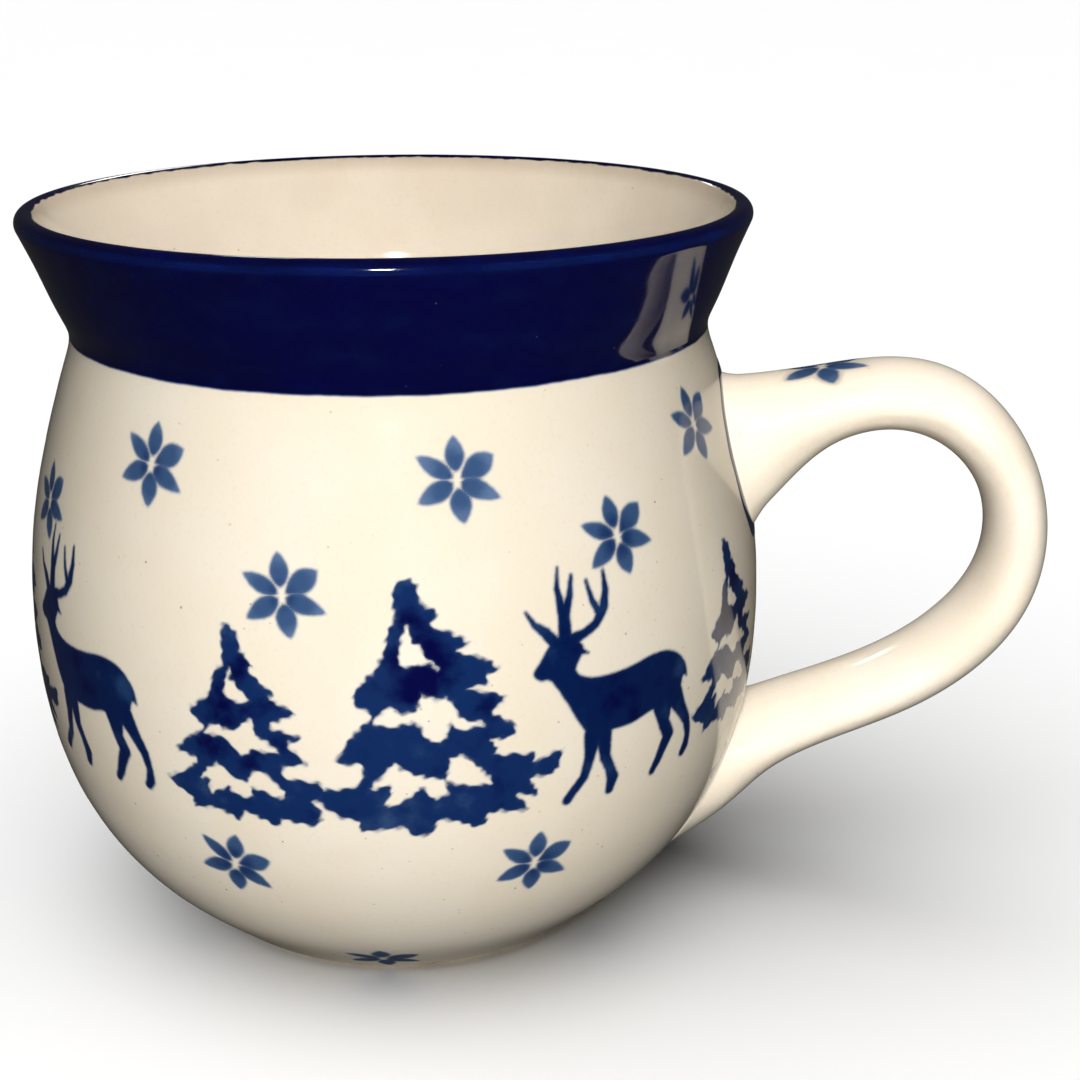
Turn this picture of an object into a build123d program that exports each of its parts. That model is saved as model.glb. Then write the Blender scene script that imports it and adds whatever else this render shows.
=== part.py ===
from build123d import *
import math
import os

# Glazed stoneware mug: a thrown bellied bowl with a flared collar, a pulled loop handle that is
# luted on with slip, a coat of glaze on each surface, a cobalt band at the lip and cobalt lines
# around the two handle joints. Millimetres, +Z up. The origin is on the bowl's axis, in the plane
# that the foot ring rests on, and the handle points along +X.

# --- driving dimensions -------------------------------------------------------------------------
FOOT_RADIUS = 30.4          # outer edge of the foot ring
FOOT_RING = 4.2             # width of the bare ring that the mug rests on
FOOT_RECESS = 1.9           # depth of the hollow inside the ring
GLAZE_START = 1.2           # height at which the outside glaze begins, above the bare foot
BELLY_RADIUS = 51.1         # widest radius
BELLY_HEIGHT = 42.0         # height of the widest radius
NECK_RADIUS = 43.1          # narrowest radius, under the collar
NECK_HEIGHT = 83.6          # height of the neck, where the cobalt band begins
LIP_RADIUS = 47.2           # radius of the lip's crest
LIP_HEIGHT = 98.5           # height of the centre of the lip's round section
LIP_ROUND = 1.1             # radius of the lip's round section, in clay
LIP_LEAN_OUT = -23.0        # direction of the collar's outer surface normal where the lip begins, degrees
LIP_LEAN_IN = 150.0         # direction of the collar's inner surface normal where the lip ends, degrees
BAND_END = 125.0            # direction of the lip's normal where the cobalt band ends inside the crest, degrees
WALL = 4.0                  # wall of the belly and neck
FLOOR_TOP = 6.2             # height of the bowl's inside floor
FLOOR_RADIUS = 23.3         # flat middle of the inside floor
CORNER_ROUND = 18.5         # radius of the round between the floor and the inside wall
CORNER_TURN = 50.0          # how far that round turns up before the wall takes over, degrees
GLAZE = 0.35                # thickness of each coat of glaze
SLIP = 0.8                  # thickness of the luting slip between bowl and handle
SLIP_SPREAD = 0.25          # how far the slip squeezes out past the handle's section
UPPER_LINE_WIDTH = 1.9      # width of the cobalt line around the upper joint
LOWER_LINE_WIDTH = 1.0      # width of the cobalt line around the lower joint
LINE_RELIEF = 0.2           # how far the lines stand above the glaze
COAT_SPANS = 16             # spans of a line that follows another at a coat's distance

# Handle stations from the upper joint to the lower one:
# (distance from the axis, height, thickness in the loop's plane, width across it)
HANDLE_STATIONS = [
    (41.5, 64.0, 25.0, 19.0),
    (49.0, 67.8, 17.6, 16.8),
    (59.0, 72.4, 10.0, 15.6),
    (73.3, 73.55, 8.8, 15.0),
    (84.15, 63.85, 7.7, 14.8),
    (85.0, 47.4, 8.2, 15.0),
    (73.2, 34.0, 8.5, 15.4),
    (57.7, 26.5, 8.5, 17.2),
    (51.3, 23.2, 9.8, 18.9),
    (45.5, 19.2, 12.4, 21.0),
    (36.4, 12.4, 11.8, 23.0),
    (31.0, 8.8, 8.0, 20.0),
]


# --- lines of the bowl's section, drawn in the plane of radius and height --------------------------
def lip_point(angle, radius=LIP_ROUND):
    """A point of the lip's round section, at an angle measured from the outward horizontal."""
    turn = math.radians(angle)
    return (LIP_RADIUS + radius * math.cos(turn), LIP_HEIGHT + radius * math.sin(turn))


def lip_tangent(angle):
    """The direction of travel over the lip, from the outside to the inside."""
    turn = math.radians(angle)
    return (-math.sin(turn), math.cos(turn))


def belly_line():
    """Outside of the clay from the foot's glaze line up to the neck."""
    return Spline(
        (FOOT_RADIUS + 0.85, GLAZE_START),
        (38.5, 8.0),
        (46.9, 21.0),
        (BELLY_RADIUS - GLAZE, BELLY_HEIGHT),
        (49.2, 60.5),
        (45.6, 74.0),
        (43.6, 80.0),
        (NECK_RADIUS - GLAZE, NECK_HEIGHT),
        tangents=[(0.72, 0.69), (0.0, 1.0)],
    )


def collar_line():
    """Outside of the clay from the neck up to where the lip's round begins."""
    return Spline(
        (NECK_RADIUS - GLAZE, NECK_HEIGHT),
        (43.8, 87.0),
        (46.5, 94.0),
        lip_point(LIP_LEAN_OUT),
        tangents=[(0.0, 1.0), lip_tangent(LIP_LEAN_OUT)],
    )


def lip_outer_line(radius=LIP_ROUND):
    """The lip's round from the collar over its crest to the end of the cobalt band."""
    middle = (LIP_LEAN_OUT + BAND_END) / 2
    return ThreePointArc(lip_point(LIP_LEAN_OUT, radius), lip_point(middle, radius), lip_point(BAND_END, radius))


def lip_inner_line(radius=LIP_ROUND):
    """The lip's round from the end of the cobalt band down to the inside wall."""
    middle = (BAND_END + LIP_LEAN_IN) / 2
    return ThreePointArc(lip_point(BAND_END, radius), lip_point(middle, radius), lip_point(LIP_LEAN_IN, radius))


def corner_point(angle, gap=0.0):
    """A point of the round inside corner, at an angle measured from the floor."""
    turn = math.radians(angle)
    reach = CORNER_ROUND - gap
    return (FLOOR_RADIUS + reach * math.sin(turn), FLOOR_TOP + CORNER_ROUND - reach * math.cos(turn))


def corner_tangent(angle):
    """The direction of travel round the inside corner, from the wall to the floor."""
    turn = math.radians(angle)
    return (-math.cos(turn), -math.sin(turn))


def inside_line():
    """Inside of the clay from the lip down to the round corner of the floor."""
    return Spline(
        lip_point(LIP_LEAN_IN),
        (42.3, 92.0),
        (NECK_RADIUS - GLAZE - WALL, NECK_HEIGHT - 0.6),
        (41.4, 74.0),
        (45.2, 60.0),
        (BELLY_RADIUS - GLAZE - WALL, BELLY_HEIGHT),
        (45.5, 31.0),
        (42.8, 22.0),
        corner_point(CORNER_TURN),
        tangents=[lip_tangent(LIP_LEAN_IN), corner_tangent(CORNER_TURN)],
    )


def corner_line(gap=0.0):
    """The round between the inside wall and the flat of the floor."""
    return ThreePointArc(corner_point(CORNER_TURN, gap), corner_point(CORNER_TURN / 2, gap), corner_point(0, gap))


def coat_line(line, distance):
    """The line that follows another at a distance, on the right-hand side of its travel."""
    points = []
    for step in range(COAT_SPANS + 1):
        along = step / COAT_SPANS
        travel = line % along
        side = Vector(travel.Y, -travel.X, 0)
        points.append((line @ along) + side * distance)
    return Spline(*points, tangents=[line % 0, line % 1])


def turned(*lines):
    """The solid of revolution of a closed outline of radius and height, its seam away from the handle."""
    return Rot(0, 0, 150) * revolve(Plane.XZ * make_face(Wire(list(lines))), Axis.Z)


def coat(line, outer):
    """A coat between a line of the clay and the line of the coat's own surface."""
    return turned(line, Line(line @ 1, outer @ 1), outer, Line(outer @ 0, line @ 0))


# --- bowl -------------------------------------------------------------------------------------------
def foot_lines():
    """The foot from the outside glaze line round the ring and across the recess to the axis."""
    ring_inner = FOOT_RADIUS - FOOT_RING
    start = belly_line() @ 0
    return [
        Line((start.X, start.Y), (FOOT_RADIUS, 0)),
        Line((FOOT_RADIUS, 0), (ring_inner, 0)),
        Line((ring_inner, 0), (ring_inner - 0.9, FOOT_RECESS)),
        Line((ring_inner - 0.9, FOOT_RECESS), (0, FOOT_RECESS)),
    ]


def bowl_clay():
    floor = [Line((FLOOR_RADIUS, FLOOR_TOP), (0, FLOOR_TOP)), Line((0, FLOOR_TOP), (0, FOOT_RECESS))]
    walls = [belly_line(), collar_line(), lip_outer_line(), lip_inner_line(), inside_line(), corner_line()]
    return turned(*walls, *floor, *foot_lines())


def bowl_envelope(belly):
    """Everything inside a line of the outside wall, as one solid."""
    low = belly @ 0
    top = belly @ 1
    return turned(
        belly, Line((top.X, top.Y), (0, top.Y)), Line((0, top.Y), (0, low.Y)), Line((0, low.Y), (low.X, low.Y))
    )


def belly_glaze():
    return coat(belly_line(), coat_line(belly_line(), GLAZE))


def rim_cobalt_band():
    collar = coat(collar_line(), coat_line(collar_line(), GLAZE))
    lip = coat(lip_outer_line(), lip_outer_line(LIP_ROUND + GLAZE))
    return collar + lip


def inner_glaze():
    lip = coat(lip_inner_line(), lip_inner_line(LIP_ROUND + GLAZE))
    wall = coat(inside_line(), coat_line(inside_line(), GLAZE))
    corner = coat(corner_line(), corner_line(GLAZE))
    floor = Pos(0, 0, FLOOR_TOP) * Cylinder(FLOOR_RADIUS, GLAZE, align=(Align.CENTER, Align.CENTER, Align.MIN))
    return lip + wall + corner + floor


def base_glaze():
    radius = FOOT_RADIUS - FOOT_RING - 1.4
    return Pos(0, 0, FOOT_RECESS - GLAZE) * Cylinder(
        radius, GLAZE, align=(Align.CENTER, Align.CENTER, Align.MIN)
    )


# --- handle -----------------------------------------------------------------------------------------
def handle_solid(extra=0.0):
    """The handle's loop as a loft of ellipses, with its section grown by extra on every side."""
    path = Spline(*[(out, 0, up) for out, up, thickness, width in HANDLE_STATIONS])
    sections = []
    for out, up, thickness, width in HANDLE_STATIONS:
        along = path % path.param_at_point((out, 0, up))
        plane = Plane(origin=(out, 0, up), x_dir=(0, 1, 0), z_dir=along)
        sections.append(plane * Ellipse(width / 2 + extra, thickness / 2 + extra))
    return loft(sections)


def half(solid, upper):
    """The upper or the lower part of what lies on the two joints."""
    middle = (HANDLE_STATIONS[0][1] + HANDLE_STATIONS[-1][1]) / 2
    block = Pos(60, 0, middle) * Box(200, 200, 200, align=(Align.CENTER, Align.CENTER, Align.MIN))
    return solid & block if upper else solid - block


def joint_line(envelope_low, envelope_high, width):
    """A raised painted line of a width, around the handle's section, on the belly glaze."""
    ring = handle_solid(GLAZE + width) - handle_solid(GLAZE)
    return (ring & envelope_high) - envelope_low


bowl = bowl_clay()
clay_surface = bowl_envelope(belly_line())
slip_surface = bowl_envelope(coat_line(belly_line(), SLIP))
glaze_surface = bowl_envelope(coat_line(belly_line(), GLAZE))
line_surface = bowl_envelope(coat_line(belly_line(), GLAZE + LINE_RELIEF))

handle_form = handle_solid()
slip_form = handle_solid(SLIP_SPREAD)
coated_form = handle_solid(GLAZE)

handle = handle_form - slip_surface
slip_pads = (slip_form & slip_surface) - clay_surface
handle_coat = (coated_form - handle_form) - slip_surface
belly_coat = belly_glaze() - coated_form
root_glaze = (coated_form - slip_form) & (slip_surface - clay_surface)
upper_ring = joint_line(glaze_surface, line_surface, UPPER_LINE_WIDTH)
lower_ring = joint_line(glaze_surface, line_surface, LOWER_LINE_WIDTH)

nodes = {
    "bowl_clay": bowl,
    "handle_clay": handle,
    "upper_joint_slip": half(slip_pads, True),
    "lower_joint_slip": half(slip_pads, False),
    "inner_glaze": inner_glaze(),
    "belly_glaze": belly_coat,
    "rim_cobalt_band": rim_cobalt_band(),
    "base_glaze": base_glaze(),
    "handle_glaze": handle_coat + root_glaze,
    "upper_joint_line": half(upper_ring, True),
    "lower_joint_line": half(lower_ring, False),
}

os.makedirs("parts", exist_ok=True)
for name, shape in nodes.items():
    export_step(shape, "parts/" + name + ".step")
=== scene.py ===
"""Looks of the glazed stoneware mug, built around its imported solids.

Lengths are in millimetres and become metres by MM where a mesh is made. The mug stands on the plane
z = 0 with the bowl's axis on Z and its handle along +X. Drawings on the belly are placed on a chart:
girth is the distance round the belly and rise is the distance up its surface.
"""

import math
from functools import partial

import bpy
import numpy as np
from mathutils import Matrix, Vector


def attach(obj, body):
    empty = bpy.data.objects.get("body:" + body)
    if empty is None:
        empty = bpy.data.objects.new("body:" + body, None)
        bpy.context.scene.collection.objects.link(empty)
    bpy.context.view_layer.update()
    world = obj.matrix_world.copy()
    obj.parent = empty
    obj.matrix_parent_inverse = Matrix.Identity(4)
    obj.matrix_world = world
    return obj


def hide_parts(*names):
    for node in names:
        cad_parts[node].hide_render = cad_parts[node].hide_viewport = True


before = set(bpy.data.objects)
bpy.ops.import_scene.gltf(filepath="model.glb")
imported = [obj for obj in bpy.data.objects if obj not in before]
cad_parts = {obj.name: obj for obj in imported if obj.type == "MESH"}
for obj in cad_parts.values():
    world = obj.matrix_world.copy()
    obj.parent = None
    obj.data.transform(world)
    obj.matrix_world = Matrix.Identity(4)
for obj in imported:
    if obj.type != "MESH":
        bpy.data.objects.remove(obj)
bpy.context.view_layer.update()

MM = 0.001

# --- bowl: the design's own section, in clay ---------------------------------------------------------
GLAZE = 0.35
GLAZE_START = 1.2
FOOT_LINE_RADIUS = 31.25
BELLY_RADIUS = 51.1
BELLY_HEIGHT = 42.0
NECK_RADIUS = 43.1
NECK_HEIGHT = 83.6
LIP_RADIUS = 47.2
LIP_HEIGHT = 98.5
LIP_ROUND = 1.1
LIP_LEAN_OUT = -23.0
LIP_LEAN_IN = 150.0
BAND_END = 113.0            # degrees; 12 less than in the CAD, so less cobalt shows over the crest
WALL = 4.0
FLOOR_TOP = 6.2
FLOOR_RADIUS = 23.3
CORNER_ROUND = 18.5
CORNER_TURN = 50.0
BAND_START = 84.1           # height where the rim's own coat takes over, just above the painted edge
COAT_DEPTH = 0.3            # thickness of each coat of glaze as a mesh

# --- handle stations: (distance from the axis, height, thickness in the loop, width across it) --------
HANDLE_STATIONS = [
    (41.5, 64.0, 25.0, 19.0),
    (49.0, 67.8, 17.6, 16.8),
    (59.0, 72.4, 10.0, 15.6),
    (73.3, 73.55, 8.8, 15.0),
    (84.15, 63.85, 7.7, 14.8),
    (85.0, 47.4, 8.2, 15.0),
    (73.2, 34.0, 8.5, 15.4),
    (57.7, 26.5, 8.5, 17.2),
    (51.3, 23.2, 9.8, 18.9),
    (45.5, 19.2, 12.4, 21.0),
    (36.4, 12.4, 11.8, 23.0),
    (31.0, 8.8, 8.0, 20.0),
]
FILLET_REACH = 2.6          # how far from the bowl the handle's root begins to spread
FILLET_SPREAD = 0.55        # how far it has spread where it meets the bowl

# --- meshes -------------------------------------------------------------------------------------------
TURNS = 384                 # segments around the bowl
ROW = 0.9                   # spacing of the rings of the bowl
LIP_ROW = 0.3               # spacing of its rings over the collar and the lip
UNDER_ROW = 4.8             # spacing of the rings on the hidden side of a coat
HANDLE_AROUND = 96          # segments around the handle's section
HANDLE_ALONG = 260          # segments along the handle
LINE_AROUND = 180           # segments around a joint line
LINE_ACROSS = 8             # segments across a joint line

SHARP_TURN = 50.0           # turn between two faces from which their edge is shaded sharp, degrees

# --- decoration ---------------------------------------------------------------------------------------
GIRTH_RADIUS = 50.96        # radius at which the chart measures girth
HANDLE_GIRTH = 71.15        # where the handle's middle lies on the chart
NECK_RISE = 91.3            # rise of the neck on the chart
REPEAT = 74.6               # girth of one repeat of the frieze
REPEATS = 4
STAMP_GRAIN = 0.25          # spacing of a stamp's mesh
STAMP_RELIEF = 0.014        # height of the stamped colour above the glaze around it
STAMP_ROOT = 0.05           # how deep its border and underside lie under the glaze
STAMP_FLAT = 0.45           # width of the flat border outside the drawing's outline
STAMP_MARGIN = 0.85         # width of the whole border


# --- smooth lines -------------------------------------------------------------------------------------
def spline_slopes(knots, spans, start, end):
    """Slopes at the knots of a cubic with continuous curvature; a free end has no curvature."""
    count = len(knots)
    matrix = np.zeros((count, count))
    right = np.zeros_like(knots)
    for row in range(1, count - 1):
        before = spans[row - 1]
        after = spans[row]
        matrix[row, row - 1:row + 2] = after, 2 * (before + after), before
        rise_before = (knots[row] - knots[row - 1]) / before
        rise_after = (knots[row + 1] - knots[row]) / after
        right[row] = 3 * (after * rise_before + before * rise_after)
    for row, beside, direction in ((0, 1, start), (-1, -2, end)):
        matrix[row, row] = 1
        if direction is None:
            matrix[row, beside] = 0.5
            chord = (knots[beside] - knots[row]) / (spans[row] if row == 0 else -spans[row])
            right[row] = 1.5 * chord
        else:
            right[row] = direction
    return np.linalg.solve(matrix, right)


def smooth_line(points, count, start=None, end=None, measure=2):
    """Points of a cubic through the given ones; its parameter follows the first measure columns."""
    knots = np.array(points, float)
    spans = np.linalg.norm(np.diff(knots[:, :measure], axis=0), axis=1)
    at = np.concatenate([[0], np.cumsum(spans)])
    slopes = spline_slopes(knots, spans, start, end)
    along = np.linspace(0, at[-1], count)
    left = np.clip(np.searchsorted(at, along, side="right") - 1, 0, len(knots) - 2)
    span = spans[left][:, None]
    t = (along - at[left])[:, None] / span
    value = (2 * t**3 - 3 * t**2 + 1) * knots[left] + (3 * t**2 - 2 * t**3) * knots[left + 1]
    return value + span * ((t**3 - 2 * t**2 + t) * slopes[left] + (t**3 - t**2) * slopes[left + 1])


def arc(centre, radius, start, end, count):
    """Points of a circular arc between two angles in degrees."""
    turn = np.radians(np.linspace(start, end, count))
    return np.column_stack([centre[0] + radius * np.cos(turn), centre[1] + radius * np.sin(turn)])


def beside(line, distance):
    """The line at a distance on the right-hand side of another's travel."""
    travel = np.gradient(line, axis=0)
    travel /= np.linalg.norm(travel, axis=1)[:, None]
    return line + distance * np.column_stack([travel[:, 1], -travel[:, 0]])


def lengths(line):
    """Distance travelled to each point of a line."""
    return np.concatenate([[0], np.cumsum(np.linalg.norm(np.diff(line, axis=0), axis=1))])


def respaced(line, spacing):
    """The same line with points at an even spacing."""
    at = lengths(line)
    even = np.linspace(0, at[-1], max(2, round(at[-1] / spacing) + 1))
    return np.column_stack([np.interp(even, at, line[:, axis]) for axis in range(line.shape[1])])


def smooth_step(value):
    """A soft rise from 0 to 1 as a value goes from 0 to 1."""
    t = np.clip(value, 0, 1)
    return t * t * (3 - 2 * t)


# --- section of the bowl ------------------------------------------------------------------------------
FINE = 1600                 # points of a line before it is respaced


def lip_direction(angle):
    turn = math.radians(angle)
    return (-math.sin(turn), math.cos(turn))


def lip_point(angle):
    return tuple(arc((LIP_RADIUS, LIP_HEIGHT), LIP_ROUND, angle, angle, 1)[0])


def belly_section():
    """Surface of the outside glaze from the foot up to the neck."""
    clay = smooth_line(
        [
            (FOOT_LINE_RADIUS, GLAZE_START), (38.5, 8.0), (46.9, 21.0),
            (BELLY_RADIUS - GLAZE, BELLY_HEIGHT),
            (49.2, 60.5), (45.6, 74.0), (43.6, 80.0), (NECK_RADIUS - GLAZE, NECK_HEIGHT),
        ],
        FINE, start=(0.72, 0.69), end=(0.0, 1.0),
    )
    return beside(clay, GLAZE)


def collar_section():
    """Surface of the outside glaze from the neck over the collar and the lip's crest to the band's end."""
    clay = smooth_line(
        [(NECK_RADIUS - GLAZE, NECK_HEIGHT), (43.8, 87.0), (46.5, 94.0), lip_point(LIP_LEAN_OUT)],
        FINE, start=(0.0, 1.0), end=lip_direction(LIP_LEAN_OUT),
    )
    crest = arc((LIP_RADIUS, LIP_HEIGHT), LIP_ROUND + GLAZE, LIP_LEAN_OUT, BAND_END, FINE)
    return np.vstack([beside(clay, GLAZE), crest[1:]])


def inside_section():
    """Surface of the inside glaze from where the lip's round ends down to the middle of the floor."""
    turn = math.radians(CORNER_TURN)
    corner = (FLOOR_RADIUS + CORNER_ROUND * math.sin(turn), FLOOR_TOP + CORNER_ROUND * (1 - math.cos(turn)))
    clay = smooth_line(
        [
            lip_point(LIP_LEAN_IN), (42.3, 92.0), (NECK_RADIUS - GLAZE - WALL, NECK_HEIGHT - 0.6),
            (41.4, 74.0), (45.2, 60.0), (BELLY_RADIUS - GLAZE - WALL, BELLY_HEIGHT), (45.5, 31.0),
            (42.8, 22.0), corner,
        ],
        FINE, start=lip_direction(LIP_LEAN_IN), end=(-math.cos(turn), -math.sin(turn)),
    )
    round_centre = (FLOOR_RADIUS, FLOOR_TOP + CORNER_ROUND)
    floor_round = arc(round_centre, CORNER_ROUND - GLAZE, CORNER_TURN - 90, -90, FINE)
    middle = np.array([(0.0, FLOOR_TOP + GLAZE)])
    return np.vstack([beside(clay, GLAZE)[:-1], floor_round, middle])


SLOPE_STEP = 0.4            # how far up and down the belly its slope is measured
BELLY = belly_section()
COLLAR = collar_section()
LIP_INSIDE = arc((LIP_RADIUS, LIP_HEIGHT), LIP_ROUND + GLAZE, BAND_END, LIP_LEAN_IN, FINE)
INSIDE = inside_section()
BELLY_RISE = lengths(BELLY) - lengths(BELLY)[-1] + NECK_RISE


def unevenness(angle, height):
    """How far a hand-turned wall strays from true at an angle and height, nothing at foot and neck."""
    hold = np.clip(np.sin(np.pi * height / NECK_HEIGHT), 0, 1)
    lobes = 0.05 * np.sin(2 * angle + 0.7) + 0.03 * np.sin(3 * angle + 2.1 + height * 0.02)
    rings = 0.012 * np.sin(height * 0.9 + 0.6 * np.sin(angle))
    return hold * (lobes + rings) - 0.08 * hold


def belly_point(girth, rise, lift=0.0):
    """Points on the belly's glaze at places on the chart, raised along the surface normal."""
    angle = (girth - HANDLE_GIRTH) / GIRTH_RADIUS
    radius = np.interp(rise, BELLY_RISE, BELLY[:, 0])
    height = np.interp(rise, BELLY_RISE, BELLY[:, 1])
    above = rise + SLOPE_STEP
    below = rise - SLOPE_STEP
    run = np.interp(above, BELLY_RISE, BELLY[:, 0]) - np.interp(below, BELLY_RISE, BELLY[:, 0])
    climb = np.interp(above, BELLY_RISE, BELLY[:, 1]) - np.interp(below, BELLY_RISE, BELLY[:, 1])
    length = np.hypot(run, climb)
    out = radius + unevenness(angle, height) + lift * climb / length
    up = height - lift * run / length
    return np.stack([out * np.cos(angle), out * np.sin(angle), up], axis=-1)


# --- making meshes ------------------------------------------------------------------------------------
def make_piece(name, points, faces, material, stands_for=()):
    """A smooth-shaded mesh piece that rides with the mug; the points are in millimetres."""
    mesh = bpy.data.meshes.new(name)
    mesh.from_pydata((np.asarray(points) * MM).tolist(), [], faces)
    mesh.validate()
    mesh.shade_smooth()
    mesh.set_sharp_from_angle(angle=math.radians(SHARP_TURN))
    mesh.materials.append(material)
    piece = bpy.data.objects.new(name, mesh)
    bpy.context.scene.collection.objects.link(piece)
    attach(piece, "root")
    if stands_for:
        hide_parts(*stands_for)
    return piece


def grid_faces(rows, columns, close_rows):
    """Quads of a sheet of rows that each close on themselves; the rows may close up as well."""
    faces = []
    last = rows if close_rows else rows - 1
    for row in range(last):
        here = row * columns
        there = (row + 1) % rows * columns
        for column in range(columns):
            beyond = (column + 1) % columns
            faces.append((here + column, here + beyond, there + beyond, there + column))
    return faces


def revolved(outline, uneven=0.0):
    """Points and faces of a closed outline turned about the axis, with a pole where it meets the axis."""
    angles = np.linspace(0, 2 * np.pi, TURNS, endpoint=False)
    points = []
    rings = []
    for radius, height in outline:
        if radius < 1e-6:
            rings.append((len(points), 1))
            points.append((0.0, 0.0, height))
            continue
        rings.append((len(points), TURNS))
        reach = radius + uneven * unevenness(angles, height)
        level = np.full(TURNS, height)
        points.extend(np.column_stack([reach * np.cos(angles), reach * np.sin(angles), level]))
    faces = []
    for (here, here_count), (there, there_count) in zip(rings, rings[1:] + rings[:1]):
        if here_count == 1 and there_count == 1:
            continue
        for column in range(TURNS):
            beyond = (column + 1) % TURNS
            if here_count == 1:
                faces.append((here, there + beyond, there + column))
            elif there_count == 1:
                faces.append((here + column, here + beyond, there))
            else:
                faces.append((here + column, here + beyond, there + beyond, there + column))
    return points, faces


def coat_outline(stretches, under_spacing):
    """Closed outline of a coat: its surface, from (line, spacing) pairs, then its underside back again."""
    outer = [respaced(line, spacing)[:-1] for line, spacing in stretches]
    whole = np.vstack([line for line, _ in stretches])
    under = beside(respaced(whole, under_spacing), -COAT_DEPTH)[::-1]
    if whole[-1, 0] < 1e-6:
        under[0] = (0.0, whole[-1, 1] - COAT_DEPTH)
    return np.vstack([*outer, whole[-1:], under])


# --- signed distances of drawings: above zero inside the colour ---------------------------------------
def inside_outline(x, y, outline):
    """Signed distance to a closed outline of straight runs."""
    corners = np.array(outline, float)
    nearest = np.full(x.shape, np.inf)
    within = np.zeros(x.shape, bool)
    for (ax, ay), (bx, by) in zip(corners, np.roll(corners, -1, axis=0)):
        along = np.clip(((x - ax) * (bx - ax) + (y - ay) * (by - ay)) / ((bx - ax)**2 + (by - ay)**2), 0, 1)
        nearest = np.minimum(nearest, np.hypot(x - ax - along * (bx - ax), y - ay - along * (by - ay)))
        if ay != by:
            crosses = ((ay > y) != (by > y)) & (x < (bx - ax) * (y - ay) / (by - ay) + ax)
            within ^= crosses
    return np.where(within, nearest, -nearest)


def inside_stroke(x, y, stroke):
    """Signed distance to a brush stroke through (x, y, half width) points."""
    best = np.full(x.shape, -np.inf)
    for (ax, ay, aw), (bx, by, bw) in zip(stroke, stroke[1:]):
        along = np.clip(((x - ax) * (bx - ax) + (y - ay) * (by - ay)) / ((bx - ax)**2 + (by - ay)**2), 0, 1)
        away = np.hypot(x - ax - along * (bx - ax), y - ay - along * (by - ay))
        best = np.maximum(best, aw + along * (bw - aw) - away)
    return best


def curved(outline, steps=4):
    """A closed outline of few points rounded into a smooth one."""
    ring = np.array(list(outline) + list(outline)[:2], float)
    before = np.array(list(outline)[-1:] + list(outline) + list(outline)[:1], float)[:-1]
    rounded = []
    for index in range(len(outline)):
        p0, p1, p2, p3 = before[index], ring[index], ring[index + 1], ring[(index + 2) % len(ring)]
        for step in range(steps):
            t = step / steps
            rounded.append(
                0.5 * (2 * p1 + (p2 - p0) * t + (2 * p0 - 5 * p1 + 4 * p2 - p3) * t**2
                       + (3 * p1 - p0 - 3 * p2 + p3) * t**3)
            )
    return rounded


# --- drawings, in millimetres from the middle of their foot -------------------------------------------
LARGE_FIR = [
    (-1.6, 32.4), (-0.4, 32.8), (0.8, 32.0), (1.4, 29.9), (3.1, 28.6), (2.4, 27.2), (4.2, 26.5),
    (6.8, 24.9), (5.3, 23.9),
    (8.3, 22.9), (10.3, 21.3), (8.9, 20.7), (8.7, 19.5), (6.4, 19.3), (10.9, 17.8), (9.4, 15.9),
    (12.1, 14.0), (11.7, 12.4), (9.0, 12.5), (10.0, 11.2), (9.6, 10.5), (14.6, 9.7), (14.7, 8.6),
    (18.2, 9.6), (17.2, 6.5),
    (14.0, 6.4), (15.2, 3.9), (12.5, 4.3), (14.1, 1.9), (9.1, 2.4), (7.9, 0.5), (3.1, 2.1), (1.5, 0.0),
    (-1.0, 0.3), (-1.6, 1.3), (-6.4, 0.8), (-7.0, 2.2), (-9.2, 2.8), (-11.4, 4.6), (-11.2, 6.5),
    (-7.0, 7.3), (-6.2, 10.0), (-9.1, 10.2), (-8.6, 12.0), (-6.6, 14.6), (-5.0, 16.4),
    (-7.0, 18.1), (-6.4, 20.0),
    (-4.0, 22.7), (-2.8, 26.6), (-1.9, 28.2), (-2.1, 31.0),
]
LARGE_FIR_SNOW = [
    [
        (-0.5, 27.6), (0.0, 25.6), (0.9, 24.8), (1.6, 23.4), (3.2, 22.0), (1.3, 22.8), (-0.3, 22.4),
        (-1.5, 23.4),
    ],
    [
        (1.0, 18.8), (2.6, 18.1), (4.0, 18.4), (5.6, 15.6), (8.4, 14.6), (5.4, 14.2), (4.2, 15.3),
        (3.4, 12.9), (1.4, 13.4), (0.2, 15.5), (-2.2, 15.0), (-4.7, 15.5), (-3.7, 16.8), (-2.4, 17.5),
        (-1.8, 16.7), (0.3, 16.9),
    ],
    [
        (-2.5, 10.2), (-1.4, 9.3), (0.2, 8.6), (2.2, 7.9), (3.3, 7.9), (3.8, 6.0), (2.6, 5.3), (1.6, 5.8),
        (0.6, 6.9), (-0.4, 5.9), (-3.5, 4.4), (-2.9, 7.3), (-5.4, 6.9), (-3.6, 8.9),
    ],
    [(4.4, 10.6), (6.2, 10.4), (8.6, 7.8), (8.8, 6.5), (5.2, 6.9), (3.6, 7.8), (4.2, 9.2)],
]
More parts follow.
